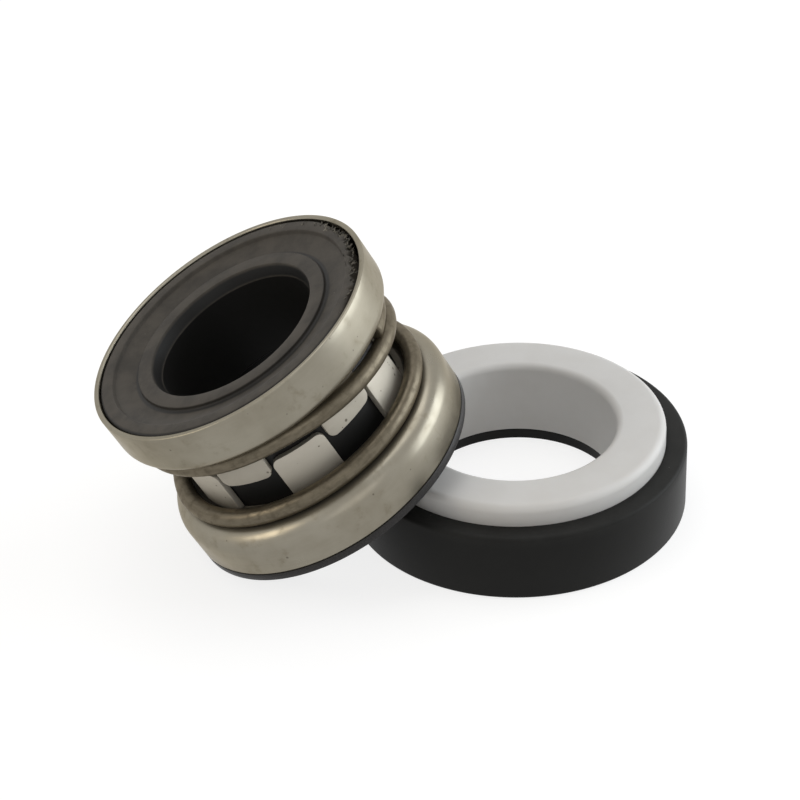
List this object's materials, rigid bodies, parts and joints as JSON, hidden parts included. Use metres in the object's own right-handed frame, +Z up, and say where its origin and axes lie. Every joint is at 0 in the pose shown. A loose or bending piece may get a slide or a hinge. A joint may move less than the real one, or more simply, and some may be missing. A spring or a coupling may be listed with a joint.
{
  "type": "component mechanical seal",
  "caption": "Shaft seal: a spring-loaded rotary head with rubber bellows leans on its stationary ceramic seat in a rubber cup.",
  "frame": {"origin": "on the surface that the seat and the head lie on, in the middle of their common footprint", "axes": "+Z up along the seat's axis, +X from the leaning head towards the seat, the head's axis leaning towards -X in the XZ plane"},
  "size_m": [0.065, 0.0382, 0.0349],
  "materials": {
    "cup_rubber": "matt moulded rubber",
    "ring_ceramic": "fired, ground and lapped on top",
    "carbon": "machined carbon graphite",
    "shell_steel": "drawn stainless sheet, satin",
    "bellows_rubber": "matt moulded rubber",
    "band_steel": "stamped stainless sheet, satin",
    "spring_wire": "drawn spring wire, dull",
    "holder_steel": "pressed stainless sheet, satin"
  },
  "bodies": {
    "base": {"seat_cup": "cup_rubber", "seat_ring": "ring_ceramic", "carbon_ring": "carbon", "retainer": "shell_steel", "coil_spring": "spring_wire"},
    "drive_end": {"spring_holder": "holder_steel", "drive_band": "band_steel", "bellows": "bellows_rubber"}
  },
  "joints": [
    {"name": "spring_compression", "type": "slide", "parent": "base", "child": "drive_end", "axis": [0.4584, 0, -0.8887], "range_m": [0, 0.0032], "stiffness_N_per_m": 4750, "deforming": ["coil_spring", "bellows"]}
  ]
}
